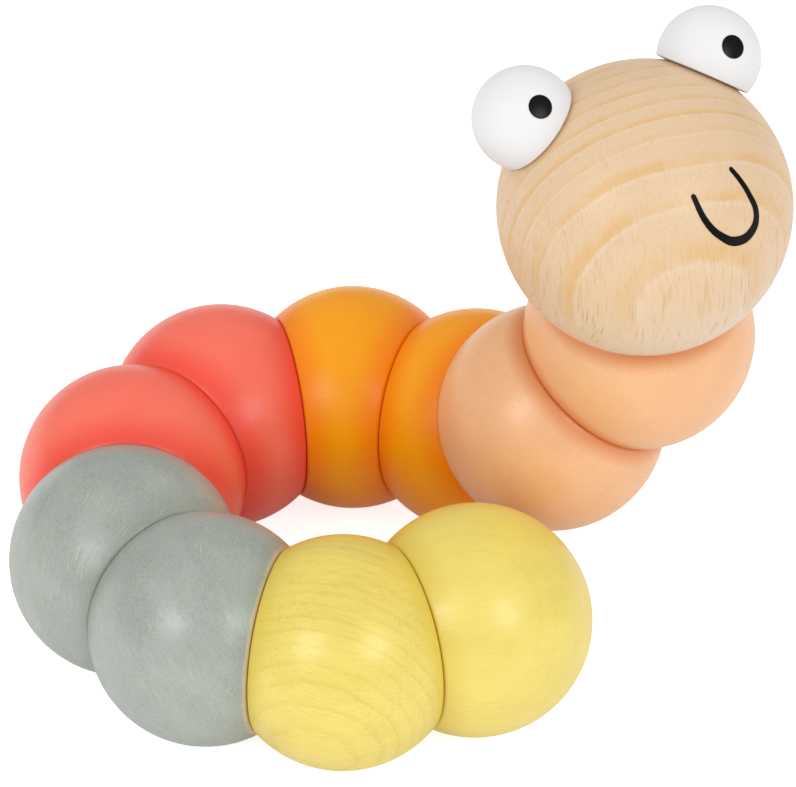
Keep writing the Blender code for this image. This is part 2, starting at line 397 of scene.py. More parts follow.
def node(tree, kind, inputs=(), **settings):
    """A new node with its settings, and its inputs set to values or joined to other outputs."""
    made = tree.nodes.new(kind)
    for name, value in settings.items():
        setattr(made, name, value)
    for key, value in dict(inputs).items():
        if isinstance(value, bpy.types.NodeSocket):
            tree.links.new(value, made.inputs[key])
        else:
            made.inputs[key].default_value = value
    return made


def sums(tree, operation, first, second=0.0, clamp=False):
    """One step of arithmetic."""
    inputs = {0: first, 1: second}
    return node(tree, "ShaderNodeMath", inputs, operation=operation, use_clamp=clamp).outputs[0]


def ramp(tree, value, low, high, start=0.0, end=1.0):
    """A smooth step of a value from start at low to end at high."""
    inputs = {"Value": value, "From Min": low, "From Max": high, "To Min": start, "To Max": end}
    return node(tree, "ShaderNodeMapRange", inputs, interpolation_type="SMOOTHSTEP").outputs[0]


def blend(tree, factor, first, second):
    """Two colours mixed by a factor."""
    inputs = {0: factor, 6: first, 7: second}
    return node(tree, "ShaderNodeMix", inputs, data_type="RGBA", blend_type="MIX").outputs[2]


def stretched(tree, place, scale):
    return node(tree, "ShaderNodeVectorMath", {0: place, 1: scale}, operation="MULTIPLY").outputs[0]


def noise(tree, place, scale, detail=2.0, roughness=0.5):
    """Noise from 0 to 1, with its own scale along each axis."""
    place = stretched(tree, place, scale)
    inputs = {"Vector": place, "Scale": 1.0, "Detail": detail, "Roughness": roughness}
    return node(tree, "ShaderNodeTexNoise", inputs).outputs[0]


def new_group(name, inputs, outputs):
    """An empty shader group with its sockets, and its two ends."""
    tree = bpy.data.node_groups.new(name, "ShaderNodeTree")
    for label, kind in inputs:
        tree.interface.new_socket(label, in_out="INPUT", socket_type=kind)
    for label in outputs:
        tree.interface.new_socket(label, in_out="OUTPUT", socket_type="NodeSocketFloat")
    return tree, node(tree, "NodeGroupInput"), node(tree, "NodeGroupOutput")


# How fast each part of the wood's figure changes across the rings, along them and along the fibres, per mm
DRIFT_SCALE = (0.05, 0.07, 0.02)
RIPPLE_SCALE = (0.25, 0.5, 0.12)
RAGGED_SCALE = (1.1, 2.0, 0.28)
FIBRE_SCALE = (2.6, 2.6, 0.16)
FLECK_SCALE = (0.22, 3.0, 0.17)
SPECKLE_SCALE = (3.2, 3.2, 2.0)
MOTTLE_SCALE = (0.16, 0.16, 0.09)
# The ripple's share of the rings' drift, and how far in mm their edges are ragged
RIPPLE, RAGGEDNESS = 0.12, 0.55
# A year's growth from 0 to 1: where its late wood starts and is darkest, and where its pale first line ends
LATE_WOOD_START, LATE_WOOD_PEAK, PALE_LINE_END = 0.5, 0.93, 0.14
WEAKEST_YEAR = 0.6
# A fleck's full-dark middle, which of the cells hold a fleck, and how far flecks lie below the fibres
FLECK_CORE = 0.1
FLECKED_CELLS = (0.5, 0.9)
FLECK_HOLLOW = 0.5


def wood_figure():
    """Growth rings, fibres and ray flecks, in mm with X across the rings and Z along the fibres."""
    if "wood_figure" in bpy.data.node_groups:
        return bpy.data.node_groups["wood_figure"]
    inputs = (
        ("Place", "NodeSocketVector"),
        ("Ring Spacing", "NodeSocketFloat"),
        ("Pith Distance", "NodeSocketFloat"),
        ("Wander", "NodeSocketFloat"),
        ("Bow", "NodeSocketFloat"),
        ("Fleck Width", "NodeSocketFloat"),
    )
    outputs = ("Late Wood", "Ring Line", "Fibre", "Flecks", "Speckle", "Mottle", "Height")
    tree, given, result = new_group("wood_figure", inputs, outputs)
    place = given.outputs["Place"]
    pith = given.outputs["Pith Distance"]
    parts = node(tree, "ShaderNodeSeparateXYZ", {0: place})

    out = sums(tree, "ADD", parts.outputs["X"], pith)
    aside = parts.outputs["Y"]
    squares = sums(tree, "ADD", sums(tree, "MULTIPLY", out, out), sums(tree, "MULTIPLY", aside, aside))
    reach = sums(tree, "SQRT", squares)
    below = sums(tree, "MINIMUM", parts.outputs["Z"], 0.0)
    bow = sums(tree, "MULTIPLY", sums(tree, "MULTIPLY", below, below), given.outputs["Bow"])
    depth = sums(tree, "ADD", sums(tree, "SUBTRACT", reach, pith), bow)
    drift = sums(tree, "SUBTRACT", noise(tree, place, DRIFT_SCALE), 0.5)
    ripple = sums(tree, "SUBTRACT", noise(tree, place, RIPPLE_SCALE), 0.5)
    drift = sums(tree, "ADD", drift, sums(tree, "MULTIPLY", ripple, RIPPLE))
    depth = sums(tree, "ADD", depth, sums(tree, "MULTIPLY", drift, given.outputs["Wander"]))
    ragged = sums(tree, "SUBTRACT", noise(tree, place, RAGGED_SCALE, 3.0), 0.5)
    depth = sums(tree, "ADD", depth, sums(tree, "MULTIPLY", ragged, RAGGEDNESS))
    layer = sums(tree, "DIVIDE", depth, given.outputs["Ring Spacing"])
    year = sums(tree, "FLOOR", layer)
    phase = sums(tree, "FRACT", layer)
    vigour = node(tree, "ShaderNodeTexWhiteNoise", {"W": year}, noise_dimensions="1D").outputs["Value"]
    fall = ramp(tree, phase, LATE_WOOD_PEAK, 1.0, 1.0, 0.0)
    late = sums(tree, "MULTIPLY", ramp(tree, phase, LATE_WOOD_START, LATE_WOOD_PEAK), fall)
    late = sums(tree, "MULTIPLY", late, ramp(tree, vigour, 0.0, 1.0, WEAKEST_YEAR, 1.0))
    line = ramp(tree, phase, 0.0, PALE_LINE_END, 1.0, 0.0)

    fibre = noise(tree, place, FIBRE_SCALE, 4.0, 0.6)
    inputs = {"Vector": stretched(tree, place, FLECK_SCALE), "Scale": 1.0, "Randomness": 1.0}
    cells = node(tree, "ShaderNodeTexVoronoi", inputs, voronoi_dimensions="3D", feature="F1")
    cell = node(tree, "ShaderNodeSeparateColor", {0: cells.outputs["Color"]}).outputs[0]
    fleck = ramp(tree, cells.outputs["Distance"], FLECK_CORE, given.outputs["Fleck Width"], 1.0, 0.0)
    flecks = sums(tree, "MULTIPLY", fleck, ramp(tree, cell, *FLECKED_CELLS))
    speckle = noise(tree, place, SPECKLE_SCALE, 2.0, 0.6)
    mottle = noise(tree, place, MOTTLE_SCALE, 3.0)
    height = sums(tree, "SUBTRACT", fibre, sums(tree, "MULTIPLY", flecks, FLECK_HOLLOW))

    for label, socket in zip(outputs, (late, line, fibre, flecks, speckle, mottle, height)):
        tree.links.new(socket, result.inputs[label])
    return tree


# How fast the worn line breaks up per mm, and by how much, and how it fades over shares of its width
WEAR_SCALE = (0.5, 0.5, 0.5)
WEAR_BREAKS = 1.4
WEAR_FADE = (0.9, 1.9, 1.0, 0.0)


def edge_wear():
    """Where stain is rubbed off: a broken line along the rims."""
    if "edge_wear" in bpy.data.node_groups:
        return bpy.data.node_groups["edge_wear"]
    inputs = (
        ("Place", "NodeSocketVector"),
        ("Rim Distance", "NodeSocketFloat"),
        ("Width", "NodeSocketFloat"),
    )
    tree, given, result = new_group("edge_wear", inputs, ("Wear",))
    ragged = noise(tree, given.outputs["Place"], WEAR_SCALE, 3.0, 0.6)
    share = sums(tree, "DIVIDE", given.outputs["Rim Distance"], given.outputs["Width"])
    wear = ramp(tree, sums(tree, "ADD", share, sums(tree, "MULTIPLY", ragged, WEAR_BREAKS)), *WEAR_FADE)
    tree.links.new(wear, result.inputs["Wear"])
    return tree


def new_material(name):
    """A material with an empty Principled shader, its node tree and that shader."""
    material = bpy.data.materials.new(name)
    material.use_nodes = True
    return material, material.node_tree, material.node_tree.nodes["Principled BSDF"]


def piece_place(tree, matrix):
    """Millimetres in a piece's own frame."""
    inputs = {
        "Vector": node(tree, "ShaderNodeTexCoord").outputs["Object"],
        "Location": matrix.to_translation(),
        "Rotation": matrix.to_euler(),
        "Scale": (MM, MM, MM),
    }
    return node(tree, "ShaderNodeMapping", inputs, vector_type="TEXTURE").outputs[0]


def raise_surface(tree, shader, height, strength, distance):
    inputs = {"Height": height, "Strength": strength, "Distance": distance}
    tree.links.new(node(tree, "ShaderNodeBump", inputs).outputs[0], shader.inputs["Normal"])


def figure_node(tree, place, wood):
    inputs = {"Place": place, **wood}
    return node(tree, "ShaderNodeGroup", inputs, node_tree=wood_figure()).outputs


# The rings of each kind of wood in millimetres, and how wide its flecks are as a share of their cells
HEAD_WOOD = {"Ring Spacing": 4.5, "Pith Distance": 70.0, "Wander": 1.3, "Bow": 0.022, "Fleck Width": 0.46}
BODY_WOOD = {"Ring Spacing": 1.9, "Pith Distance": 45.0, "Wander": 3.0, "Bow": 0.0, "Fleck Width": 0.3}
DOWEL_WOOD = {"Ring Spacing": 1.4, "Pith Distance": 20.0, "Wander": 1.0, "Bow": 0.0, "Fleck Width": 0.3}
# The head's growth rings: square to this axis in the head's frame, and moved along it
RING_AXIS = (0.107, 0.993, 0.046)
RING_OFFSET = -1.25 * MM
# From here towards the back of the head, in millimetres from the rings' origin, they lie this much closer
CLOSE_RINGS_BEHIND = 9.2
CLOSER_BY = 0.5
# The head's marks change with height: two heights in millimetres, and how strongly a mark shows at each
ARCHES = (-14.0, 6.0, 0.12, 0.9)
HONEY_WASH = (-12.0, 4.0, 0.0, 0.45)
STREAKED = (-12.0, 4.0, 0.35, 1.0)
DASHED = (4.0, 16.0, 1.0, 0.2)
FLECKED = (-6.0, 10.0, 0.9, 0.2)
# How the head's patches, streaks and dashes come out of the wood's noise: low, high, and their strengths
PATCHES = (0.35, 0.65, 0.2, 1.0)
STREAKS = (0.45, 0.75, 0.0, 0.5)
DASHES = (0.56, 0.72, 0.0, 0.55)
DASH_SCALE = (1.5, 1.5, 0.13)
PALE_LINE, PALE_LINE_SHADE = 0.45, 1.06
STREAK_SHADE, DASH_SHADE = 0.94, 0.9
# The reach of a surface's noise from its smoothest to its roughest places, and the head's roughness there
NOISE_SPAN = (0.2, 0.8)
BEECH_ROUGHNESS = (0.36, 0.46)
# How strongly the grain stands out of each finish, and how high
BEECH_RELIEF = (0.2, 0.08 * MM)
STAIN_RELIEF = (0.25, 0.1 * MM)
LACQUER_RELIEF = (0.08, 0.05 * MM)
ELASTIC_RELIEF = (0.5, 0.1 * MM)
DOWEL_RELIEF = (0.3, 0.1 * MM)


def beech_finish(matrix):
    """Clear-lacquered beech: honey arches over the face, and brown ray flecks below them."""
    material, tree, shader = new_material("clear_beech")
    parts = node(tree, "ShaderNodeSeparateXYZ", {0: piece_place(tree, matrix)}).outputs
    behind = sums(tree, "MINIMUM", sums(tree, "SUBTRACT", parts["X"], CLOSE_RINGS_BEHIND), 0.0)
    across = sums(tree, "ADD", parts["X"], sums(tree, "MULTIPLY", behind, CLOSER_BY))
    place = node(tree, "ShaderNodeCombineXYZ", {"X": across, "Y": parts["Y"], "Z": parts["Z"]}).outputs[0]
    figure = figure_node(tree, place, HEAD_WOOD)
    up = parts["Z"]
    arches = ramp(tree, up, *ARCHES)
    patches = ramp(tree, figure["Mottle"], *PATCHES)
    tone = sums(tree, "MULTIPLY", sums(tree, "MULTIPLY", figure["Late Wood"], patches), arches)
    tone = sums(tree, "ADD", tone, ramp(tree, up, *HONEY_WASH), clamp=True)
    wood = blend(tree, tone, colour("beech"), colour("honey"))
    line = sums(tree, "MULTIPLY", figure["Ring Line"], sums(tree, "MULTIPLY", arches, PALE_LINE))
    wood = blend(tree, line, wood, shade(colour("beech"), PALE_LINE_SHADE))
    high = ramp(tree, up, *STREAKED)
    streak = sums(tree, "MULTIPLY", ramp(tree, figure["Fibre"], *STREAKS), high)
    wood = blend(tree, streak, wood, shade(colour("honey"), STREAK_SHADE))
    dash = ramp(tree, noise(tree, place, DASH_SCALE, 1.0), *DASHES)
    dash = sums(tree, "MULTIPLY", sums(tree, "MULTIPLY", dash, high), ramp(tree, up, *DASHED))
    wood = blend(tree, dash, wood, shade(colour("honey"), DASH_SHADE))
    marks = sums(tree, "MULTIPLY", figure["Flecks"], ramp(tree, up, *FLECKED))
    wood = blend(tree, marks, wood, colour("fleck"))
    tree.links.new(wood, shader.inputs["Base Color"])
    rough = ramp(tree, figure["Fibre"], *NOISE_SPAN, *BEECH_ROUGHNESS)
    tree.links.new(rough, shader.inputs["Roughness"])
    raise_surface(tree, shader, figure["Height"], *BEECH_RELIEF)
    return material


# How a stain's grain, speckle and pale patches come out of the wood's noise: from low to high
GRAIN_SPAN = (0.35, 0.75)
SPECKLE_SPAN = (0.4, 0.75)
PALE_PATCH_SPAN = (0.35, 0.7)
PALE_PATCH_SHADE = 1.2
# From a rim, in millimetres: where the painted shade of the joints is darkest, and how wide the rubbed line
# is
JOINT_SHADE_START = 0.3
WORN_WIDTH = 0.8
# How much rougher the satin lacquer is in its roughest places
SATIN_SPREAD = 0.1


def stain_finish(body, stain, matrix, look):
    """Stained wood under satin lacquer, with grain, painted shade that deepens the colour at the joints,
    and rubbed rims.
    """
    material, tree, shader = new_material(f"{body}_stain")
    place = piece_place(tree, matrix)
    figure = figure_node(tree, place, BODY_WOOD)
    base = colour(stain)
    show = CALM_WOOD.get(body, 1.0)
    dark = sums(tree, "MULTIPLY", figure["Late Wood"], look["rings"] * show)
    grain = ramp(tree, figure["Fibre"], *GRAIN_SPAN, 0.0, look["grain"] * show)
    speckle = ramp(tree, figure["Speckle"], *SPECKLE_SPAN, 0.0, look["speckle"])
    dark = sums(tree, "ADD", sums(tree, "ADD", dark, grain), speckle, clamp=True)
    wood = blend(tree, dark, base, coats(base, look["deep"]))
    light = ramp(tree, figure["Mottle"], *PALE_PATCH_SPAN, 0.0, look["mottle"])
    wood = blend(tree, light, wood, shade(base, PALE_PATCH_SHADE))
    bare = colour("bare")
    marks = bare if look["bare_flecks"] else coats(base, look["deep"])
    wood = blend(tree, sums(tree, "MULTIPLY", figure["Flecks"], look["flecks"]), wood, marks)
    # Painted shade: the stain turns darker and deeper towards each rim, where neighbouring segments shade
    # the crevice
    near = node(tree, "ShaderNodeAttribute", attribute_name="rim_distance").outputs["Fac"]
    painted_shade = ramp(tree, near, JOINT_SHADE_START, look["joint_shade_width"], look["joint_shade"], 0.0)
    wood = blend(tree, painted_shade, wood, coats(base, look["joint_shade_coats"]))
    first = node(tree, "ShaderNodeAttribute", attribute_name="first_rim_distance").outputs["Fac"]
    inputs = {"Place": place, "Rim Distance": first, "Width": WORN_WIDTH}
    worn = node(tree, "ShaderNodeGroup", inputs, node_tree=edge_wear()).outputs["Wear"]
    wood = blend(tree, sums(tree, "MULTIPLY", worn, WORN_RIMS.get(body, LEAST_WEAR)), wood, bare)
    tree.links.new(wood, shader.inputs["Base Color"])
    rough = ramp(tree, figure["Fibre"], *NOISE_SPAN, look["rough"], look["rough"] + SATIN_SPREAD)
    tree.links.new(rough, shader.inputs["Roughness"])
    shader.inputs["Specular IOR Level"].default_value = look["gloss"]
    raise_surface(tree, shader, figure["Height"], *STAIN_RELIEF)
    return material


# How each opaque lacquer shines, and how much lighter or darker its clouds are
LACQUERS = {
    "eye": {"rough": 0.42, "cloud": 0.98, "gloss": 0.3},
    "pupil": {"rough": 0.3, "cloud": 1.6, "gloss": 0.3},
    "smile": {"rough": 0.4, "cloud": 1.8, "gloss": 0.15},
}
# How fast its clouds and its grain change per mm, and how much rougher it is in its roughest places
LACQUER_CLOUD_SCALE = (0.3, 0.3, 0.3)
LACQUER_GRAIN_SCALE = (1.6, 1.6, 1.6)
LACQUER_SPREAD = 0.08


def lacquer_finish(name, matrix, base, look):
    """Opaque lacquer with a faint unevenness."""
    material, tree, shader = new_material(name)
    place = piece_place(tree, matrix)
    cloud = noise(tree, place, LACQUER_CLOUD_SCALE, 3.0)
    tree.links.new(blend(tree, cloud, base, shade(base, look["cloud"])), shader.inputs["Base Color"])
    grain = noise(tree, place, LACQUER_GRAIN_SCALE, 3.0)
    rough = ramp(tree, grain, *NOISE_SPAN, look["rough"], look["rough"] + LACQUER_SPREAD)
    tree.links.new(rough, shader.inputs["Roughness"])
    shader.inputs["Specular IOR Level"].default_value = look["gloss"]
    raise_surface(tree, shader, grain, *LACQUER_RELIEF)
    return material


# The threads of the cord's cover, how dark it is between them, and its roughness
THREADS = {"Scale": 0.9, "Distortion": 1.5, "Detail": 2.0}
THREAD_SHADE = 0.72
ELASTIC_ROUGHNESS = 0.8


def elastic_finish():
    """Woven cover of the cord: fine slanted threads."""
    material, tree, shader = new_material("woven_elastic")
    inputs = {"Vector": piece_place(tree, Matrix()), **THREADS}
    wave = node(tree, "ShaderNodeTexWave", inputs, wave_type="BANDS", bands_direction="DIAGONAL")
    threads = wave.outputs["Fac"]
    base = colour("elastic")
    tree.links.new(blend(tree, threads, shade(base, THREAD_SHADE), base), shader.inputs["Base Color"])
    shader.inputs["Roughness"].default_value = ELASTIC_ROUGHNESS
    raise_surface(tree, shader, threads, *ELASTIC_RELIEF)
    return material


# How strongly a dowel shows its rings and flecks, how dark the rings are, and its roughness
DOWEL_RINGS, DOWEL_RING_SHADE = 0.6, 0.75
DOWEL_FLECKS = 0.5
DOWEL_ROUGHNESS = 0.62


def dowel_finish():
    """Bare turned dowel with fine grain."""
    material, tree, shader = new_material("bare_dowel")
    figure = figure_node(tree, piece_place(tree, Matrix()), DOWEL_WOOD)
    base = colour("dowel")
    rings = sums(tree, "MULTIPLY", figure["Late Wood"], DOWEL_RINGS)
    wood = blend(tree, rings, base, shade(base, DOWEL_RING_SHADE))
    wood = blend(tree, sums(tree, "MULTIPLY", figure["Flecks"], DOWEL_FLECKS), wood, colour("fleck"))
    tree.links.new(wood, shader.inputs["Base Color"])
    shader.inputs["Roughness"].default_value = DOWEL_ROUGHNESS
    raise_surface(tree, shader, figure["Height"], *DOWEL_RELIEF)
    return material


# How strongly each colour shows its wood, how deep and wide the painted shade at the joints is, and how it
# shines
STAINS = {
    "yellow": {
        "rings": 0.3, "grain": 0.4, "speckle": 0.04, "mottle": 0.25, "flecks": 0.3, "bare_flecks": False,
        "deep": 1.9, "joint_shade": 0.7, "joint_shade_width": 5.0, "joint_shade_coats": 1.4, "rough": 0.29, "gloss": 1.0,
    },
    "grey": {
        "rings": 0.0, "grain": 0.35, "speckle": 0.5, "mottle": 0.35, "flecks": 0.7, "bare_flecks": True,
        "deep": 1.5, "joint_shade": 0.35, "joint_shade_width": 4.0, "joint_shade_coats": 1.35, "rough": 0.29, "gloss": 1.0,
    },
    "coral": {
        "rings": 0.03, "grain": 0.12, "speckle": 0.2, "mottle": 0.25, "flecks": 0.1, "bare_flecks": False,
        "deep": 1.5, "joint_shade": 0.75, "joint_shade_width": 7.0, "joint_shade_coats": 1.7, "rough": 0.29, "gloss": 0.6,
    },
    "orange": {
        "rings": 0.05, "grain": 0.14, "speckle": 0.12, "mottle": 0.25, "flecks": 0.1, "bare_flecks": False,
        "deep": 1.5, "joint_shade": 0.55, "joint_shade_width": 6.0, "joint_shade_coats": 1.75, "rough": 0.28, "gloss": 0.35,
    },
    "peach": {
        "rings": 0.04, "grain": 0.16, "speckle": 0.16, "mottle": 0.25, "flecks": 0.1, "bare_flecks": False,
        "deep": 1.7, "joint_shade": 0.9, "joint_shade_width": 3.6, "joint_shade_coats": 1.9, "rough": 0.3, "gloss": 1.0,
    },
}


def stain_name(body):
    return "yellow" if body == "tail" else body.split("_")[0]


def stained(body, matrix):
    """The finish of a stained piece, with its wood turned its own way."""
    fibre, across = (Vector(way).normalized() for way in GRAIN[body])
    across = (across - across.dot(fibre) * fibre).normalized()
    wood = axes_matrix(matrix.to_translation(), across, fibre)
    return stain_finish(body, stain_name(body), wood, STAINS[stain_name(body)])


# Pieces


class MakeSegments(bpy.types.Operator):
    """Models one segment with two slanted flats and sets nine copies of it in the chain"""

    bl_idname = "inchworm.make_segments"
    bl_label = "Body segments"

    def execute(self, context):
        radius = sizes().ball_diameter / 2
        lean = half_wedge()
        axis = Vector((0, -math.sin(lean), math.cos(lean)))
        depth = flat_depth()
        master = turned_ball("segment", radius, axis, SEGMENT_SIDES, SEGMENT_RINGS)
        past_middle = depth + radius / 2
        cut_flat(master, radius, axis, depth, sizes().rim_rounding, sizes().cord_bore / 2, past_middle)
        bpy.ops.mesh.select_all(action="SELECT")
        bpy.ops.mesh.bisect(plane_co=(0, 0, 0), plane_no=(0, 0, 1), clear_inner=True, threshold=WELD)
        end_edit()
        other_half = master.modifiers.new("other_half", "MIRROR")
        other_half.use_axis = (False, False, True)
        other_half.merge_threshold = FLAT_REACH
        bpy.ops.object.modifier_apply(modifier=other_half.name)
        start_edit(master)
        bpy.ops.mesh.select_all(action="SELECT")
        bpy.ops.mesh.normals_make_consistent(inside=False)
        end_edit()
        smooth(master)
        mark_rims(master, radius, ((Vector((0, axis.y, -axis.z)), depth), (axis, depth)))

        for body in SEGMENTS:
            segment = copy_of(master, f"{body}_segment")
            matrix = segment_frame(body)
            settle(segment, matrix)
            dress(segment, body, stain_name(body), stained(body, matrix), f"{body}_ball")
        bpy.data.objects.remove(master, do_unlink=True)
        return {"FINISHED"}


class MakeTail(bpy.types.Operator):
    """Models the tail, a ball with one flat and a blind bore"""

    bl_idname = "inchworm.make_tail"
    bl_label = "Tail"

    def execute(self, context):
        radius = sizes().ball_diameter / 2
        depth = flat_depth()
        tail = turned_ball("tail_end", radius, UP, SEGMENT_SIDES, SEGMENT_RINGS)
        cut_flat(tail, radius, UP, depth, sizes().rim_rounding, sizes().bush_bore / 2, sizes().bush_depth)
        end_edit()
        smooth(tail)
        mark_rims(tail, radius, ((UP, depth),))
        matrix = tail_frame()
        settle(tail, matrix)
        dress(tail, "tail", "yellow", stained("tail", matrix), "tail_ball")
        return {"FINISHED"}


class MakeHead(bpy.types.Operator):
    """Models the head, with its flat, its bore and the seats of the eyes"""

    bl_idname = "inchworm.make_head"
    bl_label = "Head"

    def execute(self, context):
        radius = sizes().head_diameter / 2
        depth = head_flat_depth()
        head = turned_ball("beech_head", radius, -UP, HEAD_SIDES, HEAD_RINGS)
        cut_flat(head, radius, -UP, depth, sizes().rim_rounding, sizes().bush_bore / 2, sizes().bush_depth)
        for side in ("right", "left"):
            seat = radius - sizes().seat_depth
            cut_flat(head, radius, eye_axis(side), seat, 0, sizes().pin_bore / 2, sizes().pin_depth)
        end_edit()
        smooth(head)
        mark_rims(head, radius, ((-UP, depth),))
        matrix = head_frame()
        settle(head, matrix)
        front = Vector(RING_AXIS).normalized()
        rings = axes_matrix(RING_OFFSET * front, front, (UP - UP.dot(front) * front).normalized())
        dress(head, "head", "beech", beech_finish(matrix @ rings), "head_ball")
        return {"FINISHED"}


class MakeEyes(bpy.types.Operator):
    """Models one white eye with a flat and a pin hole, and sets a copy on each side of the head"""

    bl_idname = "inchworm.make_eyes"
    bl_label = "Eyes"

    def execute(self, context):
        radius = sizes().eye_diameter / 2
        depth = sizes().eye_flat_depth
        master = turned_ball("eye", radius, -UP, EYE_SIDES, EYE_RINGS)
        cut_flat(master, radius, -UP, depth, sizes().eye_rounding, sizes().pin_bore / 2, sizes().pin_depth)
        end_edit()
        smooth(master)
        for side in ("right", "left"):
            eye = copy_of(master, f"white_eye_{side}")
            matrix = eye_frame(side)
            settle(eye, matrix)
            white = lacquer_finish(f"white_lacquer_{side}", matrix, colour("eye"), LACQUERS["eye"])
            dress(eye, "head", "eye_white", white, f"eye_{side}")
        bpy.data.objects.remove(master, do_unlink=True)
        return {"FINISHED"}


def eye_frame(side):
    """An eye's centre, with Z away from the head and Y to the worm's front."""
    axis = eye_axis(side)
    reach = sizes().head_diameter / 2 - sizes().seat_depth + sizes().glue_line + sizes().eye_flat_depth
    x_axis = Vector((0, 1, 0)).cross(axis).normalized()
    return head_frame() @ axes_matrix(reach * axis, x_axis, axis)


# The face, as it is painted: each pupil's turn forward and sideways in degrees, and the smile's stroke.
# The smile is given in millimetres across the face to the worm's left, and up, from a middle below
# the eyes, with the brush's width as a share of the stroke's.
PUPIL_TURNS = {"right": (35.4, -2.5), "left": (38.6, -9.9)}
SMILE_MIDDLE_TILT = math.radians(50)
SMILE_STROKE = (
    (-0.18, 3.3, 0.3),
    (-0.1, 3.0, 0.56),
    (0.7, -1.1, 0.72),
    (2.6, -4.1, 0.85),
    (5.2, -5.8, 1.1),
    (8.3, -5.3, 1.08),
    (9.8, -3.2, 0.85),
    (9.3, 0.4, 0.7),
    (7.5, 4.9, 0.57),
    (7.35, 5.2, 0.3),
)


class PaintPupils(bpy.types.Operator):
    """Paints a round black pupil on each eye, as a thin cap of paint"""

    bl_idname = "inchworm.paint_pupils"
    bl_label = "Pupils"

    def execute(self, context):
        radius = sizes().eye_diameter / 2 + sizes().paint_height
        rim = sizes().pupil_diameter / 2
        depth = math.sqrt(radius**2 - rim**2)
        head = head_frame()
        for side, (forward, aside) in PUPIL_TURNS.items():
            forward, aside = math.radians(forward), math.radians(aside)
            ahead = math.cos(aside)
            way = Vector((math.sin(aside), ahead * math.sin(forward), ahead * math.cos(forward)))
            pupil = turned_ball(f"pupil_{side}", radius, UP, PUPIL_SIDES, PUPIL_RINGS)
            bpy.ops.mesh.select_all(action="SELECT")
            bpy.ops.mesh.bisect(
                plane_co=UP * depth, plane_no=UP, use_fill=True, clear_inner=True, threshold=WELD
            )
            rounding = sizes().paint_height / 2
            bpy.ops.mesh.bevel(offset=rounding, segments=PAINT_ROUNDING_STEPS, affect="EDGES")
            end_edit()
            smooth(pupil)
            centre = eye_frame(side).to_translation()
            world_way = (head.to_3x3() @ way).normalized()
            matrix = axes_matrix(centre, world_way.orthogonal().normalized(), world_way)
            settle(pupil, matrix)
            paint = lacquer_finish(f"black_paint_{side}", matrix, colour("black"), LACQUERS["pupil"])
            dress(pupil, "head", "eye_white", paint)
        return {"FINISHED"}


def face_point(across, up, radius):
    """A point on the face, by its distances across and up from the face's middle, over the curve."""
    middle = Vector((0, math.sin(SMILE_MIDDLE_TILT), math.cos(SMILE_MIDDLE_TILT)))
    upward = Vector((0, -middle.z, middle.y))
    tangent = Vector((-across * MM, 0, 0)) + up * MM * upward
    angle = tangent.length / radius
    return radius * (math.cos(angle) * middle + math.sin(angle) * tangent.normalized())


class PaintSmile(bpy.types.Operator):
    """Paints the smile as one brush stroke that lies on the head"""

    bl_idname = "inchworm.paint_smile"
    bl_label = "Smile"

    def execute(self, context):
        radius = sizes().head_diameter / 2
        bpy.ops.object.select_all(action="DESELECT")
        bpy.ops.curve.primitive_bezier_curve_add()
        stroke = context.object
        stroke.name = "smile"
        spline = stroke.data.splines[0]
        spline.bezier_points.add(len(SMILE_STROKE) - len(spline.bezier_points))
        for point, (across, up, width) in zip(spline.bezier_points, SMILE_STROKE):
            point.co = face_point(across, up, radius)
            point.handle_left_type = point.handle_right_type = "AUTO"
            point.radius = width
        stroke.data.dimensions = "3D"
        stroke.data.resolution_u = SMILE_STEPS
        stroke.data.bevel_depth = sizes().smile_width / 2
        stroke.data.bevel_resolution = SMILE_ROUNDING_STEPS
        stroke.data.use_fill_caps = True
        bpy.ops.object.convert(target="MESH")
        stroke = context.object
        stroke.name = stroke.data.name = "smile"
        proud = stroke.vertex_groups.new(name="proud")
        above = [vertex.index for vertex in stroke.data.vertices if vertex.co.length > radius]
        proud.add(above, 1.0, "REPLACE")
        flatten = stroke.modifiers.new("flatten", "CAST")
        flatten.cast_type = "SPHERE"
        flatten.factor = 1.0
        flatten.use_radius_as_size = False
        flatten.size = radius + sizes().paint_height
        flatten.vertex_group = proud.name
        bpy.ops.object.modifier_apply(modifier=flatten.name)
        smooth(stroke)
        matrix = head_frame()
        settle(stroke, matrix)
        paint = lacquer_finish("black_paint_smile", matrix, colour("black"), LACQUERS["smile"])
        dress(stroke, "head", "beech", paint)
        return {"FINISHED"}


class FinishInnerPieces(bpy.types.Operator):
    """Gives the cord, the bushes and the eye pins their finishes"""

    bl_idname = "inchworm.finish_inner_pieces"
    bl_label = "Cord, bushes and pins"

    def execute(self, context):
        elastic = elastic_finish()
        dowel = dowel_finish()
        for name, solid in frame["nodes"].items():
            if name.endswith("_cord"):
                finish(solid, elastic)
            elif name.endswith("_bush") or "_pin_" in name:
                finish(solid, dowel)
        return {"FINISHED"}


# The studio: where the camera stands, and the lamps, each with its turn from the front and its height in
# degrees, its size and its power
CAMERA_TARGET = Vector((0.0003, 0.0066, 0.0378))
CAMERA_ELEVATION = math.radians(35.11)
CAMERA_AZIMUTH = math.radians(0.11)
CAMERA_DISTANCE = 0.857
CAMERA_LENS = 248.74
CAMERA_SENSOR = 36
WHITE = (1, 1, 1, 1)
FLOOR_SIZE = 12
FLOOR_TONES = ((0.92, 0.92, 0.92, 1), (0.94, 0.94, 0.94, 1))
FLOOR_CLOUD_SCALE = (3.0, 3.0, 3.0)
FLOOR_ROUGHNESS, FLOOR_GLOSS = 0.9, 0.1
LAMP_DISTANCE = 1.1
LAMPS = {
    "soft_box_left": (-39.6, 35, 0.4, 2.0),
    "soft_box_right": (39.6, 35, 0.4, 1.85),
}
# The room's light, and how much of it and of the white floor shows in reflections
HORIZON_LIGHT, ZENITH_LIGHT = 0.93, 0.86
ROOM_IN_REFLECTIONS = 0.25
FLOOR_GLOW = 0.78
FLOOR_GLOW_IN_REFLECTIONS = 0.1


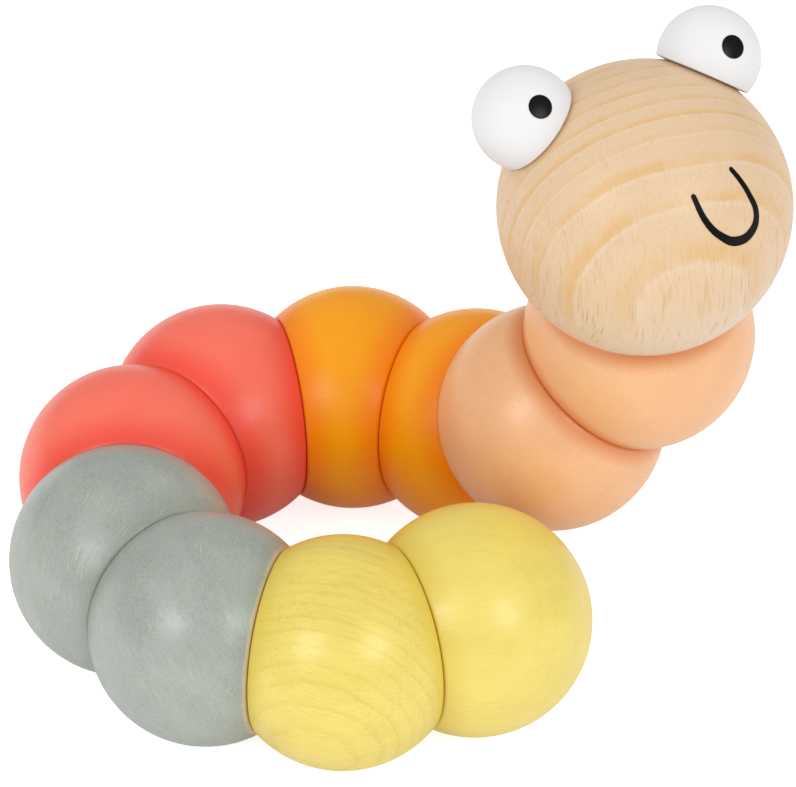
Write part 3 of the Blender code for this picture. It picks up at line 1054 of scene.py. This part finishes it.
def direction(azimuth, elevation):
    """From the toy towards a place in the studio, with azimuth 0 in front of it."""
    flat = math.cos(elevation)
    return Vector((math.sin(azimuth) * flat, -math.cos(azimuth) * flat, math.sin(elevation)))


def seen(tree, directly, mirrored, otherwise):
    """A strength for what the camera sees, for what shows in reflections and glass, and for plain light."""
    path = node(tree, "ShaderNodeLightPath").outputs
    bent = sums(tree, "MAXIMUM", path["Is Glossy Ray"], path["Is Transmission Ray"])
    strength = ramp(tree, bent, 0, 1, otherwise, mirrored)
    return ramp(tree, path["Is Camera Ray"], 0, 1, strength, directly)


class SetStage(bpy.types.Operator):
    """Sets the pale floor, the soft lamps and the camera"""

    bl_idname = "inchworm.set_stage"
    bl_label = "Stage"

    def execute(self, context):
        scene = context.scene
        scene.view_settings.view_transform = "Standard"
        bpy.ops.object.select_all(action="DESELECT")
        bpy.ops.mesh.primitive_plane_add(size=FLOOR_SIZE)
        floor = context.object
        floor.name = "floor"
        material, tree, shader = new_material("pale_floor")
        place = node(tree, "ShaderNodeTexCoord").outputs["Object"]
        cloud = noise(tree, place, FLOOR_CLOUD_SCALE)
        tree.links.new(blend(tree, cloud, *FLOOR_TONES), shader.inputs["Base Color"])
        shader.inputs["Roughness"].default_value = FLOOR_ROUGHNESS
        shader.inputs["Specular IOR Level"].default_value = FLOOR_GLOSS
        shader.inputs["Emission Color"].default_value = WHITE
        glow = seen(tree, FLOOR_GLOW, FLOOR_GLOW_IN_REFLECTIONS, 0)
        tree.links.new(glow, shader.inputs["Emission Strength"])
        floor.data.materials.append(material)

        world = bpy.data.worlds.new("white_room")
        scene.world = world
        world.use_nodes = True
        sky = world.node_tree.nodes["Background"]
        sky.inputs["Color"].default_value = WHITE
        tree = world.node_tree
        way = node(tree, "ShaderNodeTexCoord").outputs["Generated"]
        height = node(tree, "ShaderNodeSeparateXYZ", {0: way}).outputs["Z"]
        light = ramp(tree, height, 0, 1, HORIZON_LIGHT, ZENITH_LIGHT)
        tree.links.new(seen(tree, 1, ROOM_IN_REFLECTIONS, light), sky.inputs["Strength"])

        for name, (azimuth, elevation, size, power) in LAMPS.items():
            way = direction(math.radians(azimuth), math.radians(elevation))
            turn = way.to_track_quat("Z", "Y").to_euler()
            place = CAMERA_TARGET + LAMP_DISTANCE * way
            bpy.ops.object.light_add(type="AREA", location=place, rotation=turn)
            lamp = context.object
            lamp.name = name
            lamp.data.shape = "SQUARE"
            lamp.data.size = size
            lamp.data.energy = power

        way = direction(CAMERA_AZIMUTH, CAMERA_ELEVATION)
        turn = way.to_track_quat("Z", "Y").to_euler()
        bpy.ops.object.camera_add(location=CAMERA_TARGET + CAMERA_DISTANCE * way, rotation=turn)
        camera = context.object
        camera.data.lens = CAMERA_LENS
        camera.data.sensor_width = CAMERA_SENSOR
        scene.camera = camera
        return {"FINISHED"}


PIECE_OPERATORS = (
    MakeSegments,
    MakeTail,
    MakeHead,
    MakeEyes,
    PaintPupils,
    PaintSmile,
    FinishInnerPieces,
    SetStage,
)


class InchwormPanel(bpy.types.Panel):
    """Lists the toy's pieces, sizes and colours"""

    bl_idname = "VIEW3D_PT_inchworm"
    bl_label = "Wooden inchworm"
    bl_space_type = "VIEW_3D"
    bl_region_type = "UI"
    bl_category = "Inchworm"

    def draw(self, context):
        for operator in PIECE_OPERATORS:
            self.layout.operator(operator.bl_idname)
        for group in (context.scene.inchworm_sizes, context.scene.inchworm_colours):
            column = self.layout.column()
            for name in group.__annotations__:
                column.prop(group, name)


CLASSES = (InchwormSizes, InchwormColours, *PIECE_OPERATORS, InchwormPanel)


def register():
    for each in CLASSES:
        bpy.utils.register_class(each)
    bpy.types.Scene.inchworm_sizes = PointerProperty(type=InchwormSizes)
    bpy.types.Scene.inchworm_colours = PointerProperty(type=InchwormColours)


def unregister():
    del bpy.types.Scene.inchworm_colours
    del bpy.types.Scene.inchworm_sizes
    for each in reversed(CLASSES):
        bpy.utils.unregister_class(each)


def main():
    register()
    bpy.ops.inchworm.make_segments()
    bpy.ops.inchworm.make_tail()
    bpy.ops.inchworm.make_head()
    bpy.ops.inchworm.make_eyes()
    bpy.ops.inchworm.paint_pupils()
    bpy.ops.inchworm.paint_smile()
    bpy.ops.inchworm.finish_inner_pieces()
    bpy.ops.inchworm.set_stage()


if __name__ == "__main__":
    main()
